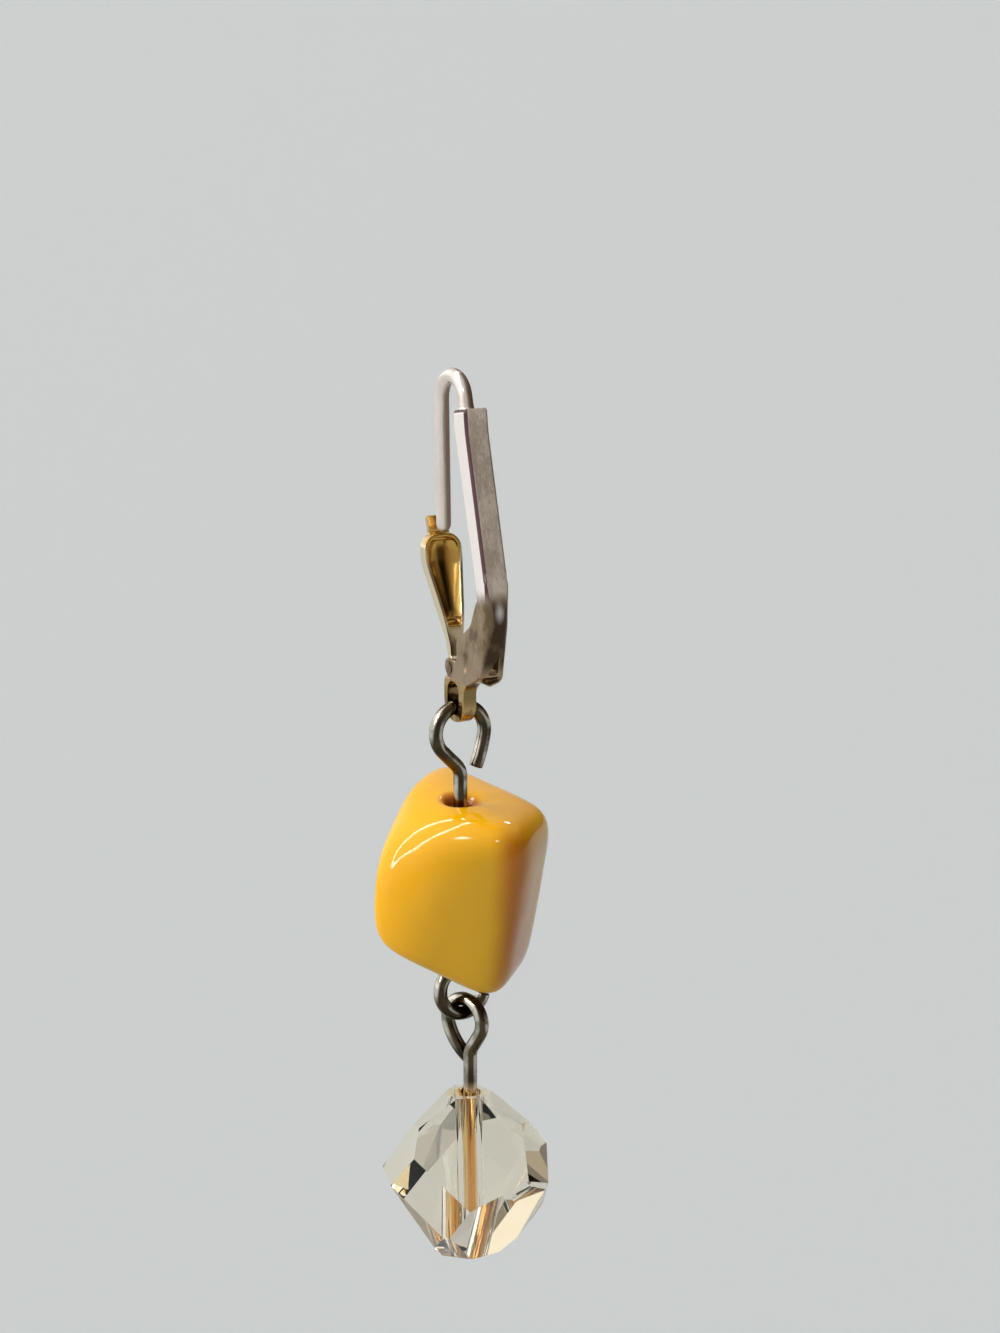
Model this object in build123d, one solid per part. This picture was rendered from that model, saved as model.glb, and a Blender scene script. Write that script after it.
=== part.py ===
from build123d import *
import os
from math import acos, cos, degrees, radians, sin, sqrt

# Millimetres. X runs across the ear wire, -Y is the front of the earring and +Z is up.
# The origin is the underside of the ear wire's crown, where the earring hangs in the ear.
# Side outlines are written as (front, height), where front is the distance towards -Y.

# Ear wire
WIRE_D = 0.72
CROWN_R = 1.2
WIRE_LEAN = 13.0
TIP_FRONT = -1.04
TIP_HEIGHT = -6.72
WIRE_IN_BAR = 1.25

# Square front bar
BAR_W = 1.25
BAR_CHAMFER = 0.14
BAR_OUTLINE = (
    # front, height, corner radius
    (2.28, -0.88, 0.0),
    (2.40, -1.9, 5.0),
    (4.30, -8.75, 5.0),
    (4.40, -10.6, 0.0),
    (3.30, -10.6, 0.0),
    (3.36, -9.4, 2.5),
    (1.13, -1.9, 5.0),
    (1.02, -1.1, 0.0),
)

# Folded base with two cheeks
BASE_OUTLINE = (
    (4.36, -9.5, 0.0),
    (4.47, -10.45, 4.0),
    (3.72, -13.1, 0.2),
    (2.35, -13.74, 0.3),
    (0.50, -13.66, 0.35),
    (0.14, -13.2, 0.3),
    (0.30, -12.70, 0.3),
    (1.40, -12.72, 0.15),
    (1.34, -11.75, 0.55),
    (2.75, -10.80, 0.7),
    (3.30, -9.60, 0.0),
)
BASE_EDGE_R = 0.08
CHEEK_T = 0.22
FRONT_WALL_T = 0.3
CHANNEL_TOP = -10.35
CHANNEL_LOW = -14.2
CHANNEL_BACK = -1.5
SLIT_FRONT = 2.9
SLIT_DEEP = 2.0
SLIT_OUTLINE = ((0.22, -12.0), (0.30, -12.95), (-0.20, -12.98))
SHELF_HEIGHT = -13.0
SHELF_FRONT = 3.35
SHELF_DEEP = 0.8
SHELF_T = 0.14
TOE_BACK = 3.1
TOE_FRONT = 3.74
TOE_WALL = 0.12
TOE_OUTLINE = (
    # across, height
    (0.56, -12.95),
    (0.60, -13.15),
    (0.42, -13.36),
    (-0.08, -13.54),
    (-0.24, -13.42),
    (-0.24, -12.95),
)
TOE_POCKET = (
    (0.44, -13.08),
    (0.44, -13.14),
    (0.34, -13.26),
    (-0.08, -13.42),
    (-0.30, -13.36),
    (-0.30, -13.08),
)
DIMPLE_FRONT = 2.35
DIMPLE_HEIGHT = -12.62
DIMPLE_LEAN = 8.0
DIMPLE_W = 0.42
DIMPLE_H = 1.0
DIMPLE_DEPTH = 0.12

# Hinge
PIN_FRONT = 0.66
PIN_HEIGHT = -13.17
PIN_D = 0.44
PIN_PLAY = 0.03
PIN_FIT = 0.01
PIN_HEAD_D = 0.54
PIN_HEAD_T = 0.03

# Bottom ring on its strip
RING_W = 0.72
RING_FRONT = 0.60
RING_HEIGHT = -14.78
RING_R = 1.0
RING_TOP = -13.72
HOLE_FRONT = 0.53
HOLE_W = 1.14
HOLE_CORNER_R = 0.5
HOLE_TOP = -13.88
HOLE_BOTTOM = -15.38
RING_EDGE_R = 0.07
RING_OUTLINE = (
    (RING_FRONT - RING_R, RING_TOP, 0.25),
    (RING_FRONT - RING_R, RING_HEIGHT - RING_R, 0.95),
    (RING_FRONT + RING_R, RING_HEIGHT - RING_R, 0.95),
    (RING_FRONT + RING_R, -14.1, 0.5),
    (2.1, -13.72, 0.3),
    (3.3, -13.3, 0.1),
    (3.3, -12.96, 0.05),
    (1.35, -13.3, 0.2),
    (1.25, RING_TOP, 0.15),
)

# Lever
LEVER_NECK_W = 0.72
LEVER_BLANK_W = 2.88
LEVER_BLANK_DEEP = 12.0
LEVER_SIDE = (
    # front face, from the top down to the barrel, then up the back
    (-1.17, -7.15, 0.08),
    (-0.97, -8.5, 4.0),
    (-0.02, -10.85, 4.0),
    (0.19, -11.9, 2.0),
    (0.34, -12.75, 0.2),
    (0.66, -12.85, 0.1),
    (0.66, -13.17, 0.0),
    (0.25, -13.17, 0.0),
    (-0.10, -12.4, 0.6),
    (-0.15, -11.9, 1.0),
    (-0.60, -10.9, 2.0),
    (-1.48, -8.6, 4.0),
    (-1.70, -7.15, 0.1),
)
LEVER_FACE = (
    # half width, height, corner radius
    (0.94, -7.15, 0.75),
    (0.99, -8.4, 3.0),
    (0.48, -11.4, 1.5),
    (0.36, -12.2, 1.2),
    (0.36, -14.0, 0.0),
)
DISH_SIDE = (
    (-0.5, -7.0, 0.0),
    (1.0, -11.6, 0.0),
    (-0.28, -11.2, 0.2),
    (-0.35, -10.9, 2.0),
    (-1.30, -8.5, 3.0),
    (-1.46, -7.5, 0.3),
    (-1.10, -7.0, 0.0),
)
DISH_FACE = (
    (0.77, -7.33, 0.6),
    (0.81, -8.4, 2.5),
    (0.31, -11.42, 0.28),
)
TAB_SIDE = (
    (-1.46, -7.7, 0.0),
    (-1.48, -6.85, 0.4),
    (-1.72, -6.35, 0.05),
    (-1.98, -6.5, 0.05),
    (-1.77, -7.0, 0.4),
    (-1.74, -7.7, 0.0),
)
TAB_W = 1.05
BARREL_D = 0.84

# Wires with open eyes. A tail starts at an angle past the eye's far side and ends at a place
# from the eye's centre: across, height and out of the eye's plane.
EYE_WIRE_D = 0.66
EYE_BEND_R = 0.8
EYE_JOIN = 45.0
LINK_FRONT = 0.585
LINK_GAP = 0.03
UPPER_EYE_R = 1.27
UPPER_EYE_TAIL = (10.0, (-0.80, -1.78, 0.0))
LOWER_EYE_R = 1.17
LOWER_EYE_ACROSS = 0.08
LOWER_EYE_BOTTOM = -30.05
LOWER_EYE_TAIL = (-15.0, None)

# Nugget bead: flats of a rounded block, as the flat's outward direction and distance
NUGGET_HEIGHT = -23.44
NUGGET_TURN = -28.0
NUGGET_EDGE_R = 1.93
NUGGET_FLATS = (
    # to the right, towards the viewer, upwards, distance
    (0.05, 0.98, 0.21, 3.37),
    (-0.37, 0.58, 0.72, 3.91),
    (0.97, 0.22, -0.10, 3.66),
    (0.10, 0.10, 0.99, 3.91),
    (-0.98, -0.19, 0.09, 3.53),
    (0.62, -0.74, -0.25, 3.72),
    (-0.42, -0.37, -0.83, 3.20),
)
NUGGET_HOLE_D = 1.3
NUGGET_DISH_R = 1.5
NUGGET_DISH_HEIGHT = -18.45

# Cut crystal bead and its pin
CRYSTAL_TABLE = 4.05
CRYSTAL_BASE = -3.88
CRYSTAL_HOLE_D = 1.3
CRYSTAL_SIDES = 3
CRYSTAL_TURN = 140.4
CRYSTAL_TOP = -33.93
CRYSTAL_FLATS = (
    # turn from the bead's first corner, tilt above level, distance from the centre
    (-12.0, 34.7, 3.11),
    (16.6, -31.9, 3.15),
    (41.6, 61.3, 4.02),
    (38.5, 26.0, 3.95),
    (76.2, -0.8, 3.66),
    (49.6, -30.0, 3.63),
    (83.7, -50.9, 3.85),
)
CRYSTAL_EYE_TURN = -68.0
CRYSTAL_EYE_R = 1.06
CRYSTAL_EYE_JOIN = 33.0
CRYSTAL_EYE_TAIL = (20.0, (-0.15, -2.05, -0.5))
CRYSTAL_EYE_ACROSS = 0.15
CRYSTAL_STEM_ACROSS = 0.48
CRYSTAL_BEAD_ACROSS = 0.33
HEAD_R = 0.8
HEAD_T = 0.2

# Beyond any bead, and the slack when edges are picked by their place
FAR = 20.0
SLACK = 0.001


def side_outline(points):
    """A closed outline in the middle plane, from (front, height, corner radius)."""
    corners = [(-front, height) for front, height, _ in points]
    radii = [radius for _, _, radius in points]
    return FilletPolyline(*corners, radius=radii, close=True)


def side_plate(points, width):
    """A plate of one side outline, centred across the earring."""
    with BuildPart() as plate:
        with BuildSketch(Plane.YZ):
            with BuildLine():
                side_outline(points)
            make_face()
        extrude(amount=width / 2, both=True)
    return plate.part


def cross_rod(front, height, diameter, length):
    """A round rod that runs across the earring."""
    rod = Cylinder(diameter / 2, length, rotation=(0, 90, 0))
    return Pos(0, -front, height) * rod


def across_edges(shape, reach):
    """The edges that lie in a plate's two side faces."""
    edges = shape.edges()
    left = edges.filter_by_position(Axis.X, -reach - SLACK, -reach + SLACK)
    right = edges.filter_by_position(Axis.X, reach - SLACK, reach + SLACK)
    return left + right


def ear_wire():
    """The wire from its tip behind the ear, over the crown and into the bar."""
    crown_height = WIRE_D / 2 - CROWN_R
    leg = crown_height - TIP_HEIGHT
    back_lean = degrees(acos(CROWN_R / sqrt(leg ** 2 + TIP_FRONT ** 2)))
    reach = degrees(acos(-TIP_FRONT / sqrt(leg ** 2 + TIP_FRONT ** 2)))
    start = back_lean - reach
    with BuildPart() as wire:
        with BuildLine(Plane.YZ) as path:
            arc = CenterArc((0, crown_height), CROWN_R, start, 180 - WIRE_LEAN - start)
            Line((-TIP_FRONT, TIP_HEIGHT), arc @ 0)
            Line(arc @ 1, (arc @ 1) + (arc % 1) * WIRE_IN_BAR)
        with BuildSketch(Plane(origin=path.wire() @ 0, z_dir=path.wire() % 0)):
            Circle(WIRE_D / 2)
        sweep()
        with Locations((0, -TIP_FRONT, TIP_HEIGHT)):
            Sphere(WIRE_D / 2)
    return wire.part


def bar():
    """The square bar, with its four long edges and its top bevelled."""
    solid = side_plate(BAR_OUTLINE, BAR_W)
    return chamfer(across_edges(solid, BAR_W / 2), BAR_CHAMFER)


def front_at(height):
    """How far forward the base's front face is at a height."""
    upper, lower = BASE_OUTLINE[1], BASE_OUTLINE[2]
    share = (height - upper[1]) / (lower[1] - upper[1])
    return upper[0] + share * (lower[0] - upper[0])


def channel():
    """The space between the cheeks, behind the front wall."""
    inner_w = BAR_W - 2 * CHEEK_T
    top_front = front_at(CHANNEL_TOP) - FRONT_WALL_T
    low_front = front_at(CHANNEL_LOW) - FRONT_WALL_T
    points = (
        (top_front, CHANNEL_TOP, 0),
        (low_front, CHANNEL_LOW, 0),
        (CHANNEL_BACK, CHANNEL_LOW, 0),
        (CHANNEL_BACK, CHANNEL_TOP, 0),
    )
    return side_plate(points, inner_w)


def slit():
    """The slanted gap in the front wall, narrow at its top."""
    with BuildPart() as wedge:
        with BuildSketch(Plane.XZ.offset(SLIT_FRONT)):
            with BuildLine():
                Polyline(*SLIT_OUTLINE, close=True)
            make_face()
        extrude(amount=SLIT_DEEP)
    return wedge.part


def toe():
    """The rolled lip at the front wall's foot, hollow and open to the front."""
    with BuildPart() as lip:
        with BuildSketch(Plane.XZ.offset(TOE_BACK)):
            with BuildLine():
                Polyline(*TOE_OUTLINE, close=True)
            make_face()
        extrude(amount=TOE_FRONT - TOE_BACK)
        with BuildSketch(Plane.XZ.offset(TOE_BACK + TOE_WALL)):
            with BuildLine():
                Polyline(*TOE_POCKET, close=True)
            make_face()
        extrude(amount=TOE_FRONT - TOE_BACK, mode=Mode.SUBTRACT)
    return lip.part


def base():
    """The folded lower body: a front wall, two cheeks and the pin's holes."""
    solid = side_plate(BASE_OUTLINE, BAR_W)
    solid = fillet(across_edges(solid, BAR_W / 2), BASE_EDGE_R)
    solid -= channel()
    solid -= slit()
    solid += toe()
    for side in (-1, 1):
        mark = Pos(side * BAR_W / 2, -DIMPLE_FRONT, DIMPLE_HEIGHT) * Rot(DIMPLE_LEAN, 0, 0)
        solid -= mark * scale(Sphere(1), by=(DIMPLE_DEPTH, DIMPLE_W / 2, DIMPLE_H / 2))
    return solid


def ring():
    """The bottom ring, on the strip that comes down between the cheeks."""
    solid = side_plate(RING_OUTLINE, RING_W)
    hole = (
        (HOLE_FRONT - HOLE_W / 2, HOLE_TOP, HOLE_CORNER_R),
        (HOLE_FRONT - HOLE_W / 2, HOLE_BOTTOM, HOLE_CORNER_R),
        (HOLE_FRONT + HOLE_W / 2, HOLE_BOTTOM, HOLE_CORNER_R),
        (HOLE_FRONT + HOLE_W / 2, HOLE_TOP, HOLE_CORNER_R),
    )
    solid = fillet(across_edges(solid, RING_W / 2), RING_EDGE_R)
    return solid - side_plate(hole, 2 * RING_W)


def front_frame():
    """Ear wire, bar, base and ring, soldered into one piece."""
    bore = cross_rod(PIN_FRONT, PIN_HEIGHT, PIN_D + 2 * PIN_FIT, 2 * BAR_W)
    body = bar() + base() - bore
    strip = Box(BAR_W - 2 * CHEEK_T, SHELF_DEEP, SHELF_T)
    shelf = Pos(0, -SHELF_FRONT, SHELF_HEIGHT) * strip
    return body + ear_wire() + ring() + shelf


def hinge_pin():
    """The rivet through both cheeks, with a low head on each side."""
    shank_length = BAR_W + 2 * PIN_FIT
    pin = cross_rod(PIN_FRONT, PIN_HEIGHT, PIN_D, shank_length)
    for side in (-1, 1):
        head = cross_rod(PIN_FRONT, PIN_HEIGHT, PIN_HEAD_D, PIN_HEAD_T)
        pin += Pos(side * (shank_length + PIN_HEAD_T) / 2, 0, 0) * head
    return pin


def face_plate(rows, depth):
    """A plate seen from the front, mirrored about the middle, from half widths."""
    right = [(half, height, radius) for half, height, radius in rows]
    left = [(-half, height, radius) for half, height, radius in reversed(right)]
    corners = [(across, height) for across, height, _ in right + left]
    radii = [radius for _, _, radius in right + left]
    with BuildPart() as plate:
        with BuildSketch(Plane.XZ):
            with BuildLine():
                FilletPolyline(*corners, radius=radii, close=True)
            make_face()
        extrude(amount=depth / 2, both=True)
    return plate.part


def lever():
    """The teardrop lever with its hollow front, its thumb tab and its barrel."""
    plate = side_plate(LEVER_SIDE, LEVER_BLANK_W) & face_plate(LEVER_FACE, LEVER_BLANK_DEEP)
    dish = side_plate(DISH_SIDE, LEVER_BLANK_W) & face_plate(DISH_FACE, LEVER_BLANK_DEEP)
    tab = side_plate(TAB_SIDE, TAB_W)
    barrel = cross_rod(PIN_FRONT, PIN_HEIGHT, BARREL_D, LEVER_NECK_W)
    bore = cross_rod(PIN_FRONT, PIN_HEIGHT, PIN_D + 2 * PIN_PLAY, LEVER_BLANK_W)
    return plate - dish + tab + barrel - bore


def eye(centre, radius, stem, join, tail, side, up):
    """Draws one open eye on the stem's line and returns the stem's end of it.

    The stem bends by the join angle into the arm on its own side, which runs over the top
    and down to the cut end. Side and up are 1 or -1 and mirror the eye.
    """
    lean = radians(join)
    tail_turn, tail_end = tail
    last = radians(180 + tail_turn)

    def spot(across, height, aside=0.0):
        return (centre[0] + side * across, centre[1] + up * height, aside)

    def on_eye(angle):
        return spot(radius * cos(angle), radius * sin(angle))

    first = -lean
    run = (radius * cos(lean) - stem - EYE_BEND_R * (1 - cos(lean))) / sin(lean)
    bend_height = -(radius + EYE_BEND_R) * sin(lean) - run * cos(lean)

    def on_bend(angle):
        across = stem + EYE_BEND_R * (1 - cos(angle))
        return spot(across, bend_height + EYE_BEND_R * sin(angle))

    ThreePointArc(on_bend(0), on_bend(lean / 2), on_bend(lean))
    Line(on_bend(lean), on_eye(first))
    ThreePointArc(on_eye(first), on_eye((first + last) / 2), on_eye(last))
    if tail_end:
        start = Vector(*on_eye(last))
        end = Vector(*spot(*tail_end))
        chord = end - start
        lean_in = Vector(-side * sin(last), up * cos(last), 0) + chord.normalized()
        middle = start + lean_in * (chord.length / lean_in.length ** 2)
        ThreePointArc(on_eye(last), tuple(middle), spot(*tail_end))
    return on_bend(0)


def round_wire(path):
    """A round wire along a drawn path."""
    with BuildPart() as wire:
        with BuildSketch(Plane(origin=path.wire() @ 0, z_dir=path.wire() % 0)):
            Circle(EYE_WIRE_D / 2)
        sweep(path=path.wire())
    return wire.part


def upper_eye_top():
    """The middle of the wire where it hangs in the ring."""
    return HOLE_BOTTOM + LINK_GAP + EYE_WIRE_D / 2


def nugget_eye_wire():
    """The wire through the nugget, with an eye at each end."""
    plane = Plane(origin=(0, -LINK_FRONT, 0), x_dir=(1, 0, 0), z_dir=(0, -1, 0))
    upper = (0, upper_eye_top() - UPPER_EYE_R)
    lower = (LOWER_EYE_ACROSS, LOWER_EYE_BOTTOM + LOWER_EYE_R)
    with BuildLine(plane) as path:
        top = eye(upper, UPPER_EYE_R, 0, EYE_JOIN, UPPER_EYE_TAIL, -1, 1)
        bottom = eye(lower, LOWER_EYE_R, LOWER_EYE_ACROSS, EYE_JOIN, LOWER_EYE_TAIL, -1, -1)
        Line(top, bottom)
    return round_wire(path)


def cut_by_flats(block, flats):
    """A block cut down to flats, each an outward direction and its distance."""
    for direction, distance in flats:
        cut = Plane(origin=direction * distance, z_dir=direction)
        block = split(block, bisect_by=cut, keep=Keep.BOTTOM)
    return block


def nugget_bead():
    """The rounded, skewed block, drilled from its dished top to its foot."""
    turn = radians(NUGGET_TURN)
    right = Vector(cos(turn), sin(turn), 0)
    viewer = Vector(sin(turn), -cos(turn), 0)
    flats = []
    for to_right, to_viewer, to_top, distance in NUGGET_FLATS:
        direction = (right * to_right + viewer * to_viewer + Vector(0, 0, to_top)).normalized()
        flats.append((direction, distance - NUGGET_EDGE_R))
    core = cut_by_flats(Box(FAR, FAR, FAR), flats)
    block = offset(core, amount=NUGGET_EDGE_R, kind=Kind.ARC)
    block = Pos(0, -LINK_FRONT, NUGGET_HEIGHT) * block
    hole = Pos(0, -LINK_FRONT, NUGGET_HEIGHT) * Cylinder(NUGGET_HOLE_D / 2, FAR)
    dish = Pos(0, -LINK_FRONT, NUGGET_DISH_HEIGHT) * Sphere(NUGGET_DISH_R)
    return block - hole - dish


def below_eye(across):
    """A point of the level plane, this far along the plane of the crystal's eye."""
    turn = radians(CRYSTAL_EYE_TURN)
    return Vector(LOWER_EYE_ACROSS + across * cos(turn), across * sin(turn) - LINK_FRONT, 0)


def crystal_bead():
    """The cut bead: three sharp corners with turned flats between them."""
    flats = []
    for side in range(CRYSTAL_SIDES):
        for turn, tilt, distance in CRYSTAL_FLATS:
            angle = radians(CRYSTAL_TURN + turn + side * 360 / CRYSTAL_SIDES)
            rise = radians(tilt)
            direction = Vector(cos(angle) * cos(rise), sin(angle) * cos(rise), sin(rise))
            flats.append((direction, distance))
    height = CRYSTAL_TABLE - CRYSTAL_BASE
    blank = Pos(0, 0, (CRYSTAL_TABLE + CRYSTAL_BASE) / 2) * Box(FAR, FAR, height)
    bead = cut_by_flats(blank, flats) - Cylinder(CRYSTAL_HOLE_D / 2, FAR)
    place = below_eye(CRYSTAL_BEAD_ACROSS)
    return Pos(place.X, place.Y, CRYSTAL_TOP - CRYSTAL_TABLE) * bead


def crystal_head_pin():
    """The crystal's wire, with an eye at its top and a flat head below."""
    turn = radians(CRYSTAL_EYE_TURN)
    plane = Plane(
        origin=(LOWER_EYE_ACROSS, -LINK_FRONT, 0),
        x_dir=(cos(turn), sin(turn), 0),
        z_dir=(sin(turn), -cos(turn), 0),
    )
    reach = CRYSTAL_EYE_R - EYE_WIRE_D - LINK_GAP
    centre = (CRYSTAL_EYE_ACROSS, LOWER_EYE_BOTTOM - sqrt(reach ** 2 - CRYSTAL_EYE_ACROSS ** 2))
    stem = CRYSTAL_STEM_ACROSS - CRYSTAL_EYE_ACROSS
    foot = CRYSTAL_TOP - CRYSTAL_TABLE + CRYSTAL_BASE - LINK_GAP
    with BuildLine(plane) as path:
        top = eye(centre, CRYSTAL_EYE_R, stem, CRYSTAL_EYE_JOIN, CRYSTAL_EYE_TAIL, 1, 1)
        Line(top, (CRYSTAL_STEM_ACROSS, foot))
    place = below_eye(CRYSTAL_STEM_ACROSS)
    head = Pos(place.X, place.Y, foot - HEAD_T / 2) * Cylinder(HEAD_R, HEAD_T)
    return round_wire(path) + head


def main():
    os.makedirs("parts", exist_ok=True)
    pieces = {
        "front_frame": front_frame(),
        "hinge_pin": hinge_pin(),
        "lever": lever(),
        "nugget_eye_wire": nugget_eye_wire(),
        "nugget_bead": nugget_bead(),
        "crystal_head_pin": crystal_head_pin(),
        "crystal_bead": crystal_bead(),
    }
    for name, piece in pieces.items():
        export_step(piece, f"parts/{name}.step")


main()
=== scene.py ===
from math import cos, pi, radians, sin, sqrt

import bmesh
import bpy
import numpy as np
from mathutils import Matrix, Vector, noise


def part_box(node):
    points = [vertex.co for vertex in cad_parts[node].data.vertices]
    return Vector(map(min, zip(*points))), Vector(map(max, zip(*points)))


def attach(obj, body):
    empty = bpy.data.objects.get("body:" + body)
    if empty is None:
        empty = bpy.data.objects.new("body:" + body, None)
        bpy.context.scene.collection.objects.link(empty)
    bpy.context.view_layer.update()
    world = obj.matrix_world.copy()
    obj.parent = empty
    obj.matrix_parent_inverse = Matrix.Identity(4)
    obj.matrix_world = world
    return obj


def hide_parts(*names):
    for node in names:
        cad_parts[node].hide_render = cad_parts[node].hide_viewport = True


bl_info = {
    "name": "Leverback Drop Earring",
    "version": (1, 0, 0),
    "blender": (4, 5, 0),
    "location": "3D View > Sidebar > Earring",
    "description": "Dresses a leverback earring with a polished nugget and a cut glass bead",
    "category": "Object",
}

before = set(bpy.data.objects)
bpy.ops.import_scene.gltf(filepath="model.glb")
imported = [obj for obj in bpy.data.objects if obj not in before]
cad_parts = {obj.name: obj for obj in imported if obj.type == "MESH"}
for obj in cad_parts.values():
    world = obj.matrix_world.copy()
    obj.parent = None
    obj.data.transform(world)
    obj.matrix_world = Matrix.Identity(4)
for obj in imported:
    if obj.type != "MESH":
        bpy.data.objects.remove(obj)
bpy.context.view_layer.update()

MM = 0.001

# Steps of an eased table, and how close points lie that are joined, in millimetres
EASE_STEPS = 120
MERGE = 0.0001

# Depth of the fine relief on the lever, the wires and the nugget, in metres
LEVER_GRAIN = 6e-6
WIRE_GRAIN = 3e-6
NUGGET_GRAIN = 8e-6

# Softening of the evened skins: share of each round, and rounds
SOFTEN_SHARE = 0.5
FINDING_ROUNDS = 6
LEVER_ROUNDS = 8
EAR_WIRE_ROUNDS = 30

# Base of the finding, in millimetres: half its width, and how its front is rounded
BASE_HALF = 0.625
KNEE_ROWS = (
    # height, edge radius, bulge to the front
    (-12.95, 0.09, 0.0),
    (-12.5, 0.24, 0.02),
    (-11.9, 0.30, 0.05),
    (-11.3, 0.48, 0.10),
    (-9.9, 0.52, 0.12),
    (-9.4, 0.34, 0.06),
    (-8.6, 0.10, 0.0),
)
KNEE_TOP = -8.2
KNEE_FOOT = -12.9
KNEE_STEP = 0.06
KNEE_SOFT = 0.25
KNEE_EASE = 0.22
KNEE_FADE = 0.5
KNEE_DEEP = 0.07
KNEE_WALL = 0.19
KNEE_LEAST = 0.001

# Heights where the ear wire leaves the bar and ends
EAR_FOOT = -0.8
EAR_TIP = -7.6

# Heights over which the finish of the base and the ring, and the painted golden light on the
# crystal's wire, set in
BASE_START = (-8.9, -9.9)
RING_START = (-13.5, -13.9)
GLOW_START = (-33.2, -34.2)

# Painted highlight at the top of the base: its place across and its height
GLINT_PLACE = (0.02, -9.85)

# Lever's hollow, a rounded trough
DISH_ROWS = (
    # height, half width, floor's front, rim's front
    (-11.0, 0.38, -0.335, -0.02),
    (-10.7, 0.44, -0.39, -0.06),
    (-8.5, 0.80, -1.30, -0.97),
    (-7.93, 0.78, -1.39, -1.05),
    (-7.7, 0.72, -1.42, -1.09),
    (-7.5, 0.59, -1.40, -1.12),
    (-7.34, 0.20, -1.22, -1.14),
)
DISH_WALL = 0.9
DISH_EASE = 0.07
DISH_SIDE = 0.03
DISH_UNDER = 0.06

# Eye wires, in millimetres from the link's middle
WIRE_D = 0.66
EYE_BEND_R = 0.8
EYE_STEPS = 60
TAIL_STEPS = 24
LINK_Y = -0.585
NUGGET_EYES = (
    # centre across, centre height, radius, join, tail turn, tail end, up
    (0.0, -16.29, 1.27, 45.0, 10.0, (-0.80, -1.78, 0.0), 1),
    (0.08, -28.88, 1.17, 45.0, -15.0, None, -1),
)
CRYSTAL_EYE = (0.15, -30.388, 1.06, 33.0, 20.0, (-0.15, -2.05, -0.5), 1)
CRYSTAL_EYE_TURN = -68.0
CRYSTAL_EYE_X = 0.08
CRYSTAL_STEM = 0.48
CRYSTAL_FOOT = -42.09
# Directions that the wires' painted highlight streaks face
HIGHLIGHT_SIDE = Vector((-0.9, -0.25, 0.3))
GLINT_SIDE = Vector((0.35, -0.9, 0.1))

# Nugget form: flats as (to the right, towards the viewer, upwards, distance in mm)
NUGGET_FLATS = (
    (-0.19, 0.98, 0.10, 3.27),
    (-0.48, 0.39, 0.79, 4.15),
    (0.95, 0.29, -0.15, 3.64),
    (0.19, 0.05, 0.98, 3.97),
    (-0.93, -0.37, -0.04, 3.21),
    (0.63, -0.76, -0.15, 3.81),
    (-0.33, -0.22, -0.92, 3.37),
)
NUGGET_TURN = -28.0
NUGGET_CENTRE = Vector((0, LINK_Y, -23.44))
NUGGET_WAVE = 2.3
NUGGET_WAVE_DEPTH = 0.03
NUGGET_AROUND = 240
NUGGET_DOWN = 150
NUGGET_LIP = 12
NUGGET_WALL = 8
MOUTH_TURN = 5.0
MOUTH_WIDE = 2.2
TILT_ROUNDS = 24

# Crystal: how far the golden tint of its hole reaches, and its flats with painted reflections
HOLE_GLOW = (0.68, 1.1)
FACET_REFLECTIONS = (
    # direction faced, how closely, colour
    ((0.85, 0.45, -0.25), 0.8, 0.9, (186, 160, 104)),
    ((0.30, 0.81, -0.50), 0.92, 0.96, (182, 156, 100)),
    ((0.46, 0.77, 0.44), 0.92, 0.96, (196, 174, 118)),
    ((0.56, -0.66, -0.50), 0.92, 0.96, (226, 208, 168)),
    ((0.61, -0.17, -0.78), 0.92, 0.96, (206, 184, 146)),
    ((-0.9, -0.1, -0.4), 0.85, 0.92, (206, 178, 130)),
)

# Studio: soft patches of light, the ring lamp, small sparks, and the camera
SKY_RISE = (-0.1, 0.9)
SKY_PATCHES = (
    # direction, how closely they fill it, colour
    ((-0.88, 0.30, 0.45), 0.55, 0.9, (1.2, 1.18, 1.12)),
    ((-0.55, 0.82, 0.12), 0.7, 0.92, (1.2, 1.18, 1.15)),
    ((0.46, -0.80, 0.30), 0.45, 0.9, (0.34, 0.32, 0.28)),
    ((0.46, -0.74, 0.49), 0.955, 0.985, (0.05, 0.045, 0.035)),
    ((0.95, 0.15, 0.05), 0.6, 0.95, (0.12, 0.08, 0.055)),
)
RING_AIM = Vector((-0.53, 0.19, 0.83))
RING_LONG = Vector((0.77, 0.44, 0.39))
RING_SIZES = (0.85, 0.14)
RING_BAND = (0.9, 1.1, 0.05)
RING_FRONT = (0.05, 0.1)
SPARKS = (
    # direction, size in degrees
    ((-0.48, -0.62, 0.62), 1.8),
    ((0.52, 0.56, 0.64), 1.8),
    ((-0.71, -0.35, 0.61), 2.4),
)
SPARK_EDGE = 1.3
FLOOR_REACH = 60.0
CAMERA_BACK = Vector((-0.4587, -0.8627, 0.2130))
CAMERA_RIGHT = Vector((0.8829, -0.4695, 0.0))
CAMERA_PLACE = Vector((-0.06914, -0.13457, 0.01969))
CAMERA_CLIP = (0.005, 100.0)
FILM_HEIGHT = 24.0


def table(rows, column, heights):
    """Values of one column of a table of rows, read at heights."""
    rows = sorted(rows)
    return np.interp(heights, [row[0] for row in rows], [row[column] for row in rows])


def eased(rows, column, heights, soft):
    """Values of one column of a table, with the kinks between its rows rounded off."""
    ends = sorted((rows[0][0], rows[-1][0]))
    places = np.linspace(*ends, EASE_STEPS)
    weights = np.exp(-((places[:, None] - places) / soft) ** 2 / 2)
    weights /= weights.sum(axis=1, keepdims=True)
    return np.interp(heights, places, weights @ table(rows, column, places))


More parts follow.
